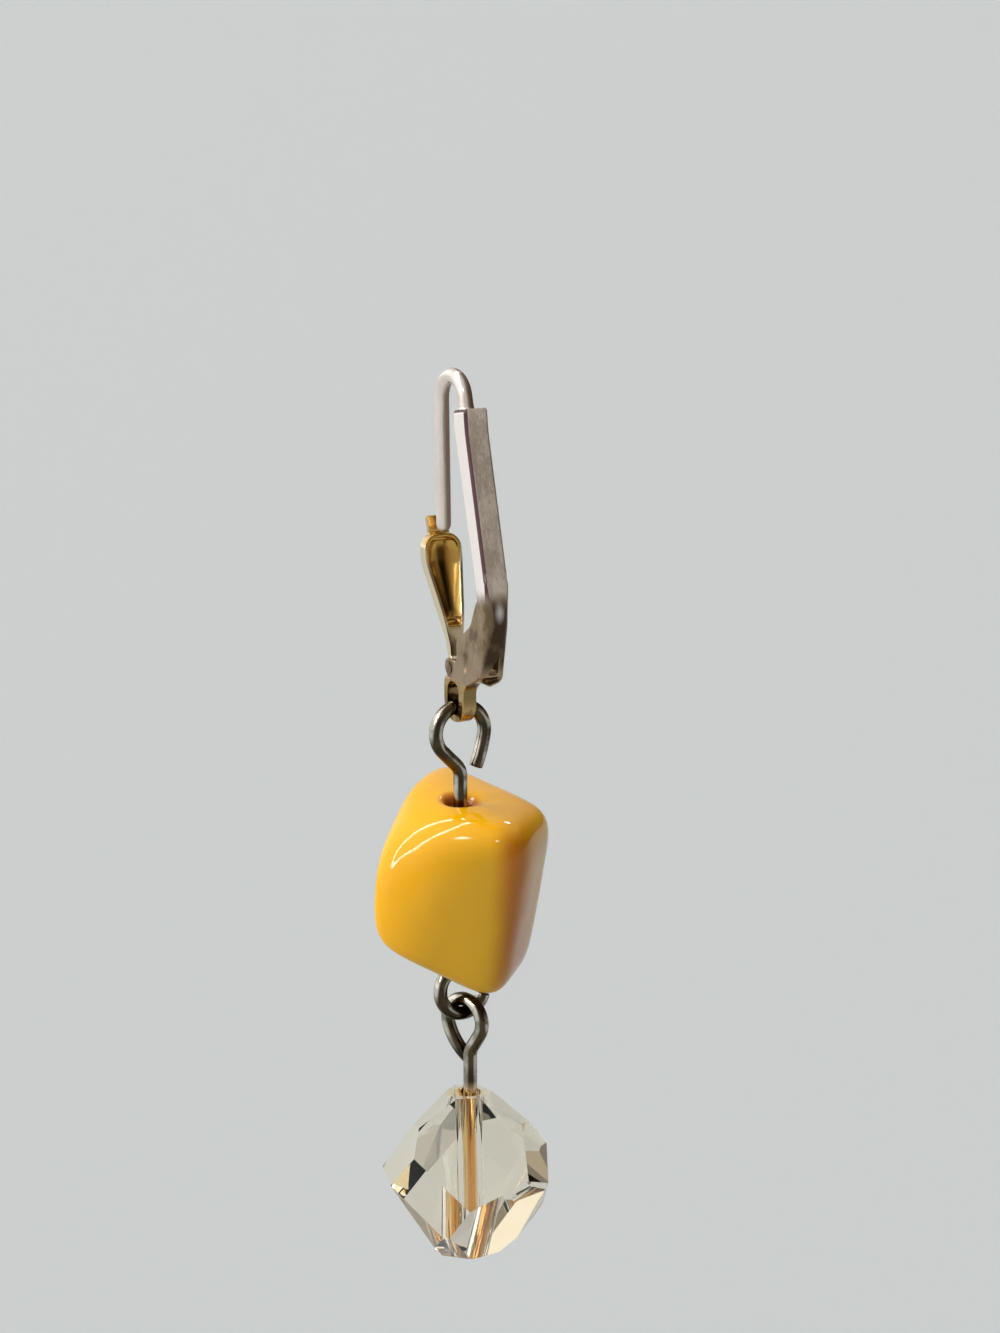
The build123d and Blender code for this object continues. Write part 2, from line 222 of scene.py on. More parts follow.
def linear(red, green, blue):
    """A linear colour from its 0 to 255 screen values."""
    def one(value):
        share = value / 255
        return share / 12.92 if share <= 0.04045 else ((share + 0.055) / 1.055) ** 2.4
    return (one(red), one(green), one(blue))


class Shade:
    """A shader socket that turns sums and products on it into Math nodes."""

    def __init__(self, tree, socket):
        self.tree = tree
        self.socket = socket

    def math(self, operation, *others):
        node = self.tree.nodes.new("ShaderNodeMath")
        node.operation = operation
        for place, value in zip(node.inputs, (self, *others)):
            feed(self.tree, place, value)
        return Shade(self.tree, node.outputs[0])

    def __add__(self, other):
        return self.math("ADD", other)

    __radd__ = __add__

    def __sub__(self, other):
        return self.math("SUBTRACT", other)

    def __rsub__(self, other):
        return self.math("MULTIPLY_ADD", -1.0, other)

    def __mul__(self, other):
        return self.math("MULTIPLY", other)

    __rmul__ = __mul__

    def __truediv__(self, other):
        return self.math("DIVIDE", other)

    def __pow__(self, other):
        return self.math("POWER", other)

    def __abs__(self):
        return self.math("ABSOLUTE")


def greater(first, second):
    """The greater of two values at each place."""
    return first.math("MAXIMUM", second)


def feed(tree, place, value):
    """Links a socket or sets a plain value on it."""
    if isinstance(value, Shade):
        tree.links.new(value.socket, place)
    elif isinstance(value, (tuple, list)) and len(value) == 3 and len(place.default_value) == 4:
        place.default_value = (*value, 1.0)
    else:
        place.default_value = value


class Nodes:
    """A node tree that is built from Python expressions."""

    def __init__(self, tree):
        self.tree = tree
        tree.nodes.clear()

    def node(self, kind, settings, inputs, output=0):
        """Adds a node with its settings, then its inputs, and gives one of its outputs."""
        made = self.tree.nodes.new(kind)
        for name, value in settings.items():
            setattr(made, name, value)
        for name, value in inputs.items():
            feed(self.tree, made.inputs[name], value)
        return Shade(self.tree, made.outputs[output]) if made.outputs else None

    def place(self):
        """The piece's own coordinates in millimetres: a vector and its three parts."""
        own = self.node("ShaderNodeTexCoord", {}, {}, "Object")
        vector = self.node("ShaderNodeVectorMath", {"operation": "SCALE"}, {0: own, 3: 1 / MM})
        return (vector, *(self.part(vector, axis) for axis in range(3)))

    def facing(self):
        """The direction in which the piece's skin faces."""
        return self.node("ShaderNodeTexCoord", {}, {}, "Normal")

    def part(self, vector, axis):
        """One of a vector's three parts."""
        return self.node("ShaderNodeSeparateXYZ", {}, {0: vector}, axis)

    def along(self, vector, direction):
        """How far a vector goes in a direction."""
        return self.node("ShaderNodeVectorMath", {"operation": "DOT_PRODUCT"},
                         {0: vector, 1: Vector(direction).normalized()}, "Value")

    def stretch(self, vector, amounts):
        """Coordinates multiplied along each axis."""
        return self.node("ShaderNodeVectorMath", {"operation": "MULTIPLY"},
                         {0: vector, 1: amounts})

    def ramp(self, value, low, high):
        """0 below low, 1 above high and smooth between them."""
        return self.node("ShaderNodeMapRange", {"interpolation_type": "SMOOTHSTEP"},
                         {"Value": value, "From Min": low, "From Max": high})

    def band(self, value, low, high, soft):
        """1 between low and high, fading over the soft width."""
        above = self.ramp(value, low - soft, low + soft)
        return above * (1 - self.ramp(value, high - soft, high + soft))

    def cloud(self, vector, scale, detail=3.0, rough=0.55):
        """Soft noise from 0 to 1."""
        return self.node("ShaderNodeTexNoise", {},
                         {"Vector": vector, "Scale": scale, "Detail": detail, "Roughness": rough})

    def mix(self, factor, first, second):
        """Mixes two colours."""
        return self.node("ShaderNodeMix", {"data_type": "RGBA"},
                         {0: factor, 6: first, 7: second}, 2)

    def bump(self, height, strength, distance):
        """Fine relief, its distance in metres."""
        return self.node("ShaderNodeBump", {},
                         {"Height": height, "Strength": strength, "Distance": distance})

    def surface(self, inputs):
        """A Principled surface with plain values or links on its sockets."""
        shader = self.node("ShaderNodeBsdfPrincipled", {}, inputs)
        self.node("ShaderNodeOutputMaterial", {}, {"Surface": shader})


def new_material(name):
    """A material and the node tree it is built in."""
    material = bpy.data.materials.new(name)
    material.use_nodes = True
    return material, Nodes(material.node_tree)


def in_mm(node):
    """A copy of a CAD node's mesh with its loose triangles joined, in millimetres."""
    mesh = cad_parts[node].data.copy()
    mesh.transform(Matrix.Scale(1 / MM, 4))
    form = bmesh.new()
    form.from_mesh(mesh)
    bmesh.ops.remove_doubles(form, verts=form.verts, dist=MERGE)
    form.to_mesh(mesh)
    form.free()
    return mesh


def new_piece(name, mesh):
    """An object in the scene for a mesh."""
    piece = bpy.data.objects.new(name, mesh)
    bpy.context.scene.collection.objects.link(piece)
    return piece


def settle(piece):
    """Turns a piece's modifiers into plain mesh."""
    view = bpy.context.evaluated_depsgraph_get()
    piece.data = bpy.data.meshes.new_from_object(piece.evaluated_get(view))
    piece.modifiers.clear()


def soften(piece, rounds, group=""):
    """Rounds off a piece's edges, or those of one group of its points."""
    modifier = piece.modifiers.new("soften", "SMOOTH")
    modifier.factor = SOFTEN_SHARE
    modifier.iterations = rounds
    modifier.vertex_group = group


def even_skin(name, node, voxel, rounds, change, rounder=None):
    """A closed and even copy of a CAD node, reshaped and with softened edges.

    Where the rule called rounder holds, the skin is softened more.
    """
    piece = new_piece(name, in_mm(node))
    even = piece.modifiers.new("even", "REMESH")
    even.mode = "VOXEL"
    even.voxel_size = voxel
    settle(piece)
    reshape(piece.data, change)
    soften(piece, rounds)
    if rounder:
        chosen = [point.index for point in piece.data.vertices if rounder(point.co)]
        piece.vertex_groups.new(name="rounder").add(chosen, 1.0, "REPLACE")
        soften(piece, EAR_WIRE_ROUNDS, "rounder")
    settle(piece)
    piece.data.transform(Matrix.Scale(MM, 4))
    piece.data.shade_smooth()
    return piece


def reshape(mesh, change):
    """Moves a mesh's points by a rule on their places across, to the front and in height."""
    places = np.empty(len(mesh.vertices) * 3)
    mesh.vertices.foreach_get("co", places)
    across, back, height = places.reshape(-1, 3).T
    across, front = change(across, -back, height)
    mesh.vertices.foreach_set("co", np.column_stack((across, -front, height)).ravel())


def stand_for(piece, node, body, material):
    """Shows a piece in a CAD node's place, on its body and with its finish."""
    piece.data.materials.clear()
    piece.data.materials.append(material)
    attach(piece, body)
    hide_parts(node)


def dress(node, material):
    """Gives a CAD node its finish."""
    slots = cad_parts[node].data.materials
    slots.clear()
    slots.append(material)


class FindingLooks(bpy.types.PropertyGroup):
    """Finish of the soldered finding."""
    silver: bpy.props.FloatVectorProperty(
        name="Silver", description="Polished silver", subtype="COLOR", size=3,
        default=linear(224, 208, 194))
    matte: bpy.props.FloatVectorProperty(
        name="Matte", description="Dull patches of the silver", subtype="COLOR", size=3,
        default=linear(172, 156, 140))
    # Painted highlight: near white on the bar's left side, over the ear wire and in a spot at the
    # top of the base
    bright: bpy.props.FloatVectorProperty(
        name="Bright", description="The bar's smooth left side", subtype="COLOR", size=3,
        default=linear(252, 242, 238))
    violet: bpy.props.FloatVectorProperty(
        name="Violet", description="Tarnish on the bar's left bevel", subtype="COLOR", size=3,
        default=linear(92, 62, 68))
    # Painted brown reflection on the faces turned to the right
    brown_reflection: bpy.props.FloatVectorProperty(
        name="Tarnish", description="Brown tarnish on the right", subtype="COLOR",
        size=3, default=linear(122, 92, 70))
    # Painted dark reflection on the base's front, also used for painted shade on the ring and
    # dark blotches on the base
    painted_dark: bpy.props.FloatVectorProperty(
        name="Deep", description="Dark polished metal of the base", subtype="COLOR", size=3,
        default=linear(66, 48, 38))
    satin: bpy.props.FloatVectorProperty(
        name="Satin", description="Scratched metal of the two cheeks", subtype="COLOR", size=3,
        default=linear(162, 138, 106))
    yellowed: bpy.props.FloatVectorProperty(
        name="Yellowed", description="Yellowed metal of the bottom ring", subtype="COLOR", size=3,
        default=linear(206, 172, 108))
    scratch_depth: bpy.props.FloatProperty(
        name="Scratch depth", description="Depth of the fine scratches", subtype="DISTANCE",
        unit="LENGTH", default=0.000008, min=0, precision=7)
    voxel: bpy.props.FloatProperty(
        name="Mesh size", description="Size of the skin's squares", subtype="DISTANCE",
        unit="LENGTH", default=0.00004, min=0.00002, precision=6)


class LeverLooks(bpy.types.PropertyGroup):
    """Finish of the lever."""
    rim: bpy.props.FloatVectorProperty(
        name="Rim", description="Cream metal of the rim and the outside", subtype="COLOR", size=3,
        default=linear(246, 230, 198))
    gold: bpy.props.FloatVectorProperty(
        name="Gold", description="Yellowed metal of the hollow", subtype="COLOR", size=3,
        default=linear(208, 164, 84))
    # Painted dark reflection down the middle of the hollow
    reflected_band: bpy.props.FloatVectorProperty(
        name="Stain", description="Dark band down the hollow", subtype="COLOR", size=3,
        default=linear(84, 60, 24))
    voxel: bpy.props.FloatProperty(
        name="Mesh size", description="Size of the skin's squares", subtype="DISTANCE",
        unit="LENGTH", default=0.000026, min=0.00001, precision=6)


class WireLooks(bpy.types.PropertyGroup):
    """Finish of the two eye wires."""
    # Painted highlight: colour of the light streaks on the wires
    wire_highlight: bpy.props.FloatVectorProperty(
        name="Worn steel", description="Bright wire where the film has worn off", subtype="COLOR",
        size=3, default=linear(226, 220, 206))
    film: bpy.props.FloatVectorProperty(
        name="Film", description="Olive brown film on the wire", subtype="COLOR", size=3,
        default=linear(84, 72, 52))
    dark: bpy.props.FloatVectorProperty(
        name="Dark film", description="Thickest film on the wire", subtype="COLOR", size=3,
        default=linear(44, 38, 32))
    # Painted golden light on the wire inside the crystal
    golden_glow: bpy.props.FloatVectorProperty(
        name="Gilt", description="Wire inside the crystal", subtype="COLOR", size=3,
        default=linear(240, 202, 138))
    diameter: bpy.props.FloatProperty(
        name="Wire diameter", description="Thickness of the wire", subtype="DISTANCE",
        unit="LENGTH", default=WIRE_D * MM, min=0.0001, precision=5)
    head: bpy.props.FloatProperty(
        name="Head diameter", description="Diameter of the flat head below the crystal",
        subtype="DISTANCE", unit="LENGTH", default=0.0016, min=0.0001, precision=5)
    head_thickness: bpy.props.FloatProperty(
        name="Head thickness", description="Thickness of the flat head", subtype="DISTANCE",
        unit="LENGTH", default=0.0002, min=0.00005, precision=5)
    cut_bevel: bpy.props.FloatProperty(
        name="Cut bevel", description="Rounding of the cut ends", subtype="DISTANCE",
        unit="LENGTH", default=0.00008, min=0.00001, precision=6)
    points: bpy.props.IntProperty(
        name="Points", description="Rings of points along each wire", default=420, min=40)
    sides: bpy.props.IntProperty(
        name="Sides", description="Points round the wire", default=36, min=8)


class NuggetLooks(bpy.types.PropertyGroup):
    """Form and finish of the nugget."""
    squareness: bpy.props.FloatProperty(
        name="Squareness", description="How flat the nugget's sides are between their edges",
        default=6.0, min=3.0, max=16.0)
    hole: bpy.props.FloatProperty(
        name="Hole", description="Diameter of the drilled hole", subtype="DISTANCE",
        unit="LENGTH", default=0.0013, min=0.0008)
    lip: bpy.props.FloatProperty(
        name="Lip", description="Radius of the hole's rounded mouth", subtype="DISTANCE",
        unit="LENGTH", default=0.00045, min=0.0001)
    honey: bpy.props.FloatVectorProperty(
        name="Honey", description="Main colour", subtype="COLOR", size=3,
        default=linear(248, 180, 8))
    # Painted shade and painted dark reflection on the right ridge
    amber: bpy.props.FloatVectorProperty(
        name="Amber", description="Deeper colour of the right ridge", subtype="COLOR",
        size=3, default=linear(178, 104, 1))
    # Painted shade: darker yellow over the front, away from the light
    shaded_honey: bpy.props.FloatVectorProperty(
        name="Mustard", description="Greener yellow of the front's middle", subtype="COLOR",
        size=3, default=linear(200, 150, 4))
    # Painted shade inside the hole
    hole_shade: bpy.props.FloatVectorProperty(
        name="Hole tint", description="Red brown inside the hole", subtype="COLOR", size=3,
        default=linear(190, 92, 2))


class CrystalLooks(bpy.types.PropertyGroup):
    """Finish of the cut bead."""
    tint: bpy.props.FloatVectorProperty(
        name="Tint", description="Champagne tint of the glass", subtype="COLOR", size=3,
        default=linear(252, 244, 228))
    amber: bpy.props.FloatVectorProperty(
        name="Hole tint", description="Golden tint around the hole", subtype="COLOR", size=3,
        default=linear(244, 210, 150))


class StudioLooks(bpy.types.PropertyGroup):
    """Floor, lights and camera."""
    floor: bpy.props.FloatVectorProperty(
        name="Floor", description="Pale floor", subtype="COLOR", size=3,
        default=linear(190, 194, 194))
    floor_height: bpy.props.FloatProperty(
        name="Floor height", description="Height of the floor below the ear wire",
        subtype="DISTANCE", unit="LENGTH", default=-0.3)
    low_sky: bpy.props.FloatVectorProperty(
        name="Low light", description="Soft light near the horizon", subtype="COLOR", size=3,
        default=linear(184, 183, 181))
    high_sky: bpy.props.FloatVectorProperty(
        name="High light", description="Soft light from above", subtype="COLOR", size=3,
        default=linear(200, 202, 204))
    backdrop: bpy.props.FloatVectorProperty(
        name="Backdrop", description="Pale surround beyond the floor", subtype="COLOR", size=3,
        default=linear(204, 209, 208))
    ring: bpy.props.FloatProperty(
        name="Ring lamp", description="Brightness of the ring lamp", default=20.0, min=0)
    lens: bpy.props.FloatProperty(
        name="Lens", description="Focal length on a frame 24 mm high", default=59.74, min=10)


class EARRING_OT_finding(bpy.types.Operator):
    """Shapes the ear wire, bar, base and ring, and dresses the rivet"""
    bl_idname = "earring.finding"
    bl_label = "Shape the finding"

    def execute(self, context):
        looks = context.scene.earring_finding
        metal = worn_silver("finding_metal", looks)
        finding = even_skin("finding", "front_frame", looks.voxel / MM, FINDING_ROUNDS,
                            rounded_knee, on_ear_wire)
        stand_for(finding, "front_frame", "front_frame", metal)
        dress("hinge_pin", metal)
        return {"FINISHED"}


def on_ear_wire(place):
    """Whether a place in millimetres lies on the ear wire's skin."""
    return place.z > EAR_FOOT or (place.y > 0 and place.z > EAR_TIP)


def rounded_knee(across, front, height):
    """Evens out the front of the base and rounds its two long edges."""
    rows = np.arange(KNEE_FOOT, KNEE_TOP, KNEE_STEP)
    edge = np.array([front[np.abs(height - row) < KNEE_STEP].max() for row in rows])
    weights = np.exp(-((rows[:, None] - rows) / KNEE_SOFT) ** 2 / 2)
    weights /= weights.sum(axis=1, keepdims=True)
    even = weights @ edge
    ends = np.minimum(rows - rows[0], rows[-1] - rows)
    shift = (even - edge) * np.clip(ends / KNEE_FADE, 0, 1)
    depth = np.interp(height, rows, edge) - front
    face = np.interp(height, rows, edge + shift)
    radius, bulge = (eased(KNEE_ROWS, column, height, KNEE_EASE) for column in (1, 2))
    face = face + bulge
    within = (height > rows[0]) & (height < rows[-1])
    front = np.where((depth < KNEE_DEEP) & within, face, front)
    over_side = np.abs(across) - (BASE_HALF - radius)
    over_front = front - (face - radius)
    reach = np.hypot(over_side, over_front)
    skin = (np.abs(across) > BASE_HALF - KNEE_WALL) | (depth < KNEE_WALL)
    cut = (over_side > 0) & (over_front > 0) & skin & within & (height < KNEE_ROWS[-1][0])
    keep = np.where(cut, radius / np.maximum(reach, KNEE_LEAST), 1)
    across = np.where(cut, np.sign(across) * (BASE_HALF - radius + over_side * keep), across)
    front = np.where(cut, face - radius + over_front * keep, front)
    return across, front


def worn_silver(name, looks):
    """Old polished silver: matte and mottled in front, brown satin below, with a painted
    highlight on its left side, painted brown reflection along its right edges and painted dark
    reflection on the base's front.
    """
    material, n = new_material(name)
    vector, x, y, z = n.place()
    to_right = n.part(n.facing(), 0)
    blotch = n.cloud(n.stretch(vector, (1.0, 1.0, 0.5)), 1.1, 5.0, 0.65)
    grain = n.cloud(n.stretch(vector, (1.0, 1.0, 0.3)), 12.0, 4.0, 0.7)
    lines = n.cloud(n.stretch(vector, (6.0, 6.0, 0.35)), 3.0, 3.0, 0.5)
    left = n.ramp(to_right, -0.82, -0.93)
    left_edge = n.band(to_right, -0.9, -0.3, 0.06)
    right_cheek = n.ramp(z, -9.2, -10.2) * n.ramp(to_right, 0.8, 0.93)
    right = n.ramp(to_right, 0.35, 0.6) * (1 - right_cheek * 0.8)
    below = n.ramp(z, *BASE_START)
    ear = n.ramp(y, -1.9, -1.7) * n.ramp(z, -8.0, -7.4) * n.ramp(abs(x), 0.48, 0.4)
    bar = (1 - ear) * (1 - below)
    loop = n.ramp(z, *RING_START)
    cheek = n.ramp(abs(to_right), 0.82, 0.93) * below * (1 - loop)
    # Where the base's front gets its painted dark reflection
    knee_reflection = below * (1 - n.ramp(abs(to_right), 0.6, 0.95)) * n.ramp(z, -13.3, -12.3)
    beside, above = x - GLINT_PLACE[0], z - GLINT_PLACE[1]
    away = (beside * beside * 5.0 + above * above) ** 0.5
    glint = (1 - n.ramp(away, 0.0, 0.75)) * below * (1 - cheek)
    mottle = n.ramp(blotch * 0.55 + grain * 0.45, 0.42, 0.6)
    colour = n.mix(mottle * 0.75, tuple(looks.silver), tuple(looks.matte))
    # Painted highlight on the bar's left side and over the ear wire
    colour = n.mix(greater(left * bar, ear * 0.6), colour, tuple(looks.bright))
    colour = n.mix(left_edge * bar, colour, tuple(looks.violet))
    # Painted brown reflection on the faces turned to the right, less on the right cheek
    colour = n.mix(right * 0.85, colour, tuple(looks.brown_reflection))
    colour = n.mix(below * (0.8 + mottle * 0.2), colour, tuple(looks.satin))
    # Painted brown reflection on the right part of the ear wire
    colour = n.mix(n.ramp(to_right, -0.35, 0.1) * ear * 0.9, colour, tuple(looks.brown_reflection))
    colour = n.mix(loop * 0.7, colour, tuple(looks.yellowed))
    gleam = n.ramp(n.ramp(blotch, 0.4, 0.65) * 0.6 + n.ramp(to_right, -0.1, -0.6) * 0.5
                   + n.ramp(z, -11.4, -12.6) * 0.4, 0.35, 1.1)
    # Painted dark reflection on the base's front, broken by lighter painted streaks, with dark
    # blotches over the base
    shade = greater(knee_reflection * (0.97 - gleam * 0.45), below * n.ramp(blotch, 0.5, 0.64) * 0.55)
    # Painted shade on the ring's lower part, away from the left
    shade = greater(shade, loop * n.ramp(to_right, -0.9, -0.5) * n.ramp(z, -15.3, -14.5) * 0.6)
    colour = n.mix(shade, colour, tuple(looks.painted_dark))
    # Painted highlight spot at the top of the base
    colour = n.mix(glint * 0.6, colour, tuple(looks.bright))
    soft = greater(left * bar * 0.5, ear * 0.35)
    soft = greater(soft, greater(bar * (1 - right), glint) * 0.5)
    n.surface({
        "Base Color": colour,
        "Metallic": 1 - soft,
        "Roughness": 0.12 + grain * 0.12 + (1 - left) * bar * 0.2 + cheek * 0.14,
        "Normal": n.bump(lines * 0.6 + grain * 0.5 + blotch, 0.35, looks.scratch_depth),
    })
    return material


class EARRING_OT_lever(bpy.types.Operator):
    """Shapes the lever with its rounded hollow"""
    bl_idname = "earring.lever"
    bl_label = "Shape the lever"

    def execute(self, context):
        looks = context.scene.earring_lever
        lever = even_skin("lever_skin", "lever", looks.voxel / MM, LEVER_ROUNDS, rounded_hollow)
        stand_for(lever, "lever", "lever", lever_metal("lever_metal", looks))
        return {"FINISHED"}


def rounded_hollow(across, front, height):
    """Turns the lever's flat floored hollow into a rounded trough."""
    half, floor, rim = (eased(DISH_ROWS, column, height, DISH_EASE) for column in (1, 2, 3))
    share = np.clip(np.abs(across) / half, 0, 1)
    trough = floor + (rim - floor) * DISH_WALL * share ** 2
    inside = (height > DISH_ROWS[0][0]) & (height < DISH_ROWS[-1][0])
    inside &= np.abs(across) < half + DISH_SIDE
    inside &= (front > floor - DISH_UNDER) & (front < trough)
    return across, np.where(inside, trough, front)


def lever_metal(name, looks):
    """Cream metal that is yellow in the hollow, with a painted dark reflection band down its
    middle.
    """
    material, n = new_material(name)
    vector, x, y, z = n.place()
    grain = n.cloud(n.stretch(vector, (1.0, 1.0, 0.3)), 7.0, 4.0, 0.6)
    front = n.ramp(n.part(n.facing(), 1), 0.15, -0.15)
    inside = n.ramp(abs(x) + (z + 8.4) * -0.166, 0.86, 0.74) * n.ramp(z, -11.6, -11.3) * front
    # Painted dark reflection: a band down the middle of the hollow
    reflected_band = n.ramp(abs(x), 0.36, 0.1) * n.band(z, -10.9, -7.7, 0.35) * front
    colour = n.mix(inside, tuple(looks.rim), tuple(looks.gold))
    colour = n.mix(reflected_band * 0.9 + grain * 0.1, colour, tuple(looks.reflected_band))
    n.surface({
        "Base Color": colour,
        "Metallic": 1.0,
        "Roughness": 0.12 + grain * 0.14,
        "Normal": n.bump(grain, 0.4, LEVER_GRAIN),
    })
    return material


class EARRING_OT_wires(bpy.types.Operator):
    """Draws the two dark eye wires"""
    bl_idname = "earring.wires"
    bl_label = "Draw the eye wires"

    def execute(self, context):
        looks = context.scene.earring_wires
        material = dark_wire("wire_metal", looks)
        tree = round_wire_nodes()
        made = (
            ("nugget_wire", nugget_wire_path(), "nugget_eye_wire", "nugget_drop", 0.0),
            ("crystal_wire", crystal_wire_path(), "crystal_head_pin", "crystal_drop", looks.head),
        )
        for name, path, node, body, head in made:
            wire = new_piece(name, path_mesh(name, path))
            modifier = wire.modifiers.new("round_wire", "NODES")
            modifier.node_group = tree
            sizes = {"Wire diameter": looks.diameter, "Head diameter": head,
                     "Head thickness": looks.head_thickness, "Cut bevel": looks.cut_bevel,
                     "Points": looks.points, "Sides": looks.sides, "Metal": material}
            for item in tree.interface.items_tree:
                if item.name in sizes:
                    modifier[item.identifier] = sizes[item.name]
            settle(wire)
            stand_for(wire, node, body, material)
        return {"FINISHED"}


def round_wire_nodes():
    """Geometry nodes that turn a path into round wire with bevelled cuts and a flat head."""
    tree = bpy.data.node_groups.new("round_wire", "GeometryNodeTree")
    sockets = (("Path", "Geometry"), ("Wire diameter", "Float"), ("Head diameter", "Float"),
               ("Head thickness", "Float"), ("Cut bevel", "Float"), ("Points", "Int"),
               ("Sides", "Int"), ("Metal", "Material"))
    for name, kind in sockets:
        tree.interface.new_socket(name, in_out="INPUT", socket_type="NodeSocket" + kind)
    tree.interface.new_socket("Wire", in_out="OUTPUT", socket_type="NodeSocketGeometry")
    n = Nodes(tree)
    given = {name: n.node("NodeGroupInput", {}, {}, name) for name, kind in sockets}
    curve = n.node("GeometryNodeMeshToCurve", {}, {"Mesh": given["Path"]})
    curve = n.node("GeometryNodeResampleCurve", {}, {"Curve": curve, "Count": given["Points"]})
    along = n.node("GeometryNodeSplineParameter", {}, {}, "Length")
    to_foot = n.node("GeometryNodeSplineLength", {}, {}, "Length") - along
    to_cut = along.math("MINIMUM", to_foot)
    bevel = given["Cut bevel"]
    inward = 1 - (to_cut / bevel).math("MINIMUM", 1.0)
    lost = bevel * (1 - (1 - inward * inward) ** 0.5)
    head = n.ramp(to_foot, given["Head thickness"], given["Head thickness"] * 0.85)
    wide = greater(given["Head diameter"], given["Wire diameter"])
    radius = (given["Wire diameter"] + (wide - given["Wire diameter"]) * head) * 0.5 - lost
    ring = n.node("GeometryNodeCurvePrimitiveCircle", {},
                  {"Resolution": given["Sides"], "Radius": 1.0})
    tube = n.node("GeometryNodeCurveToMesh", {},
                  {"Curve": curve, "Profile Curve": ring, "Scale": radius, "Fill Caps": True})
    tube = n.node("GeometryNodeSetShadeSmooth", {}, {"Geometry": tube})
    tube = n.node("GeometryNodeRealizeInstances", {}, {"Geometry": tube})
    tube = n.node("GeometryNodeSetMaterial", {}, {"Geometry": tube, "Material": given["Metal"]})
    n.node("NodeGroupOutput", {}, {"Wire": tube})
    return tree


def path_mesh(name, path):
    """A line of edges through the points of a path given in millimetres."""
    mesh = bpy.data.meshes.new(name)
    edges = [(k, k + 1) for k in range(len(path) - 1)]
    mesh.from_pydata([point * MM for point in path], edges, [])
    return mesh


def round_bend(start, way, end):
    """Points of the round arc that leaves the start in a direction and comes to the end."""
    chord = end - start
    aside = (chord - way * chord.dot(way)).normalized()
    lean = chord.angle(way)
    radius = chord.length / (2 * sin(lean))
    turns = [2 * lean * k / TAIL_STEPS for k in range(1, TAIL_STEPS + 1)]
    return [start + (way * sin(turn) + aside * (1 - cos(turn))) * radius for turn in turns]


def eye_path(eye, stem, side):
    """Points of one open eye from its stem to its cut end, as across, height and aside."""
    across, height, radius, join, tail_turn, tail_end, up = eye
    lean, last = radians(join), radians(180 + tail_turn)

    def spot(right, rise, aside=0.0):
        return Vector((across + side * right, height + up * rise, aside))

    run = (radius * cos(lean) - stem - EYE_BEND_R * (1 - cos(lean))) / sin(lean)
    bend = -(radius + EYE_BEND_R) * sin(lean) - run * cos(lean)
    points = []
    for k in range(EYE_STEPS + 1):
        angle = lean * k / EYE_STEPS
        points.append(spot(stem + EYE_BEND_R * (1 - cos(angle)), bend + EYE_BEND_R * sin(angle)))
    for k in range(EYE_STEPS + 1):
        angle = -lean + (last + lean) * k / EYE_STEPS
        points.append(spot(radius * cos(angle), radius * sin(angle)))
    if tail_end:
        way = Vector((-side * sin(last), up * cos(last), 0))
        points += round_bend(points[-1], way, spot(*tail_end))
    return points


def nugget_wire_path():
    """The nugget's wire from one cut end to the other."""
    upper, lower = (eye_path(eye, eye[0], -1) for eye in NUGGET_EYES)
    return [Vector((point.x, LINK_Y - point.z, point.y)) for point in upper[::-1] + lower]


def crystal_wire_path():
    """The crystal's wire from its cut end to its flat head."""
    turn = radians(CRYSTAL_EYE_TURN)
    along = Vector((cos(turn), sin(turn), 0))
    aside = Vector((sin(turn), -cos(turn), 0))
    origin = Vector((CRYSTAL_EYE_X, LINK_Y, 0))
    flat = eye_path(CRYSTAL_EYE, CRYSTAL_STEM - CRYSTAL_EYE[0], 1)[::-1]
    flat.append(Vector((CRYSTAL_STEM, CRYSTAL_FOOT, 0)))
    return [origin + along * p.x + aside * p.z + Vector((0, 0, p.y)) for p in flat]


def dark_wire(name, looks):
    """Dark polished wire with painted highlight streaks, and painted golden light where it runs
    through the crystal.
    """
    material, n = new_material(name)
    vector, x, y, z = n.place()
    film = n.ramp(n.cloud(vector, 0.9, 3.0, 0.5), 0.4, 0.65)
    grain = n.cloud(vector, 16.0, 3.0, 0.6)
    leftward, rightward = (n.along(n.facing(), side) for side in (HIGHLIGHT_SIDE, GLINT_SIDE))
    patchy = n.ramp(n.cloud(vector, 1.3, 3.0, 0.5), 0.38, 0.62)
    # Painted highlight streaks on the side facing the light from the left, and narrower ones
    # facing front right
    highlight_streaks = greater(n.ramp(leftward, 0.76, 0.95) * (0.35 + patchy * 0.65),
                   n.ramp(rightward, 0.9, 0.98) * patchy * 0.6)
    colour = n.mix(film * 0.7, tuple(looks.film), tuple(looks.dark))
    # Painted highlight: light streaks over the dark film
    colour = n.mix(highlight_streaks, colour, tuple(looks.wire_highlight))
    # Painted golden light on the wire inside the crystal
    colour = n.mix(n.ramp(z, *GLOW_START), colour, tuple(looks.golden_glow))
    n.surface({
        "Base Color": colour,
        "Metallic": 1.0,
        "Roughness": 0.08 + grain * 0.1,
        "Normal": n.bump(grain, 0.3, WIRE_GRAIN),
    })
    return material


def nugget_reach(direction, squareness):
    """How far the nugget's skin lies from its centre in a direction, in millimetres."""
    turn = radians(NUGGET_TURN)
    right = direction.x * cos(turn) + direction.y * sin(turn)
    near = direction.x * sin(turn) - direction.y * cos(turn)
    total = 0.0
    for to_right, to_viewer, to_top, distance in NUGGET_FLATS:
        size = sqrt(to_right ** 2 + to_viewer ** 2 + to_top ** 2)
        lean = (right * to_right + near * to_viewer + direction.z * to_top) / (size * distance)
        if lean > 0:
            total += lean ** squareness
    return total ** (-1 / squareness)


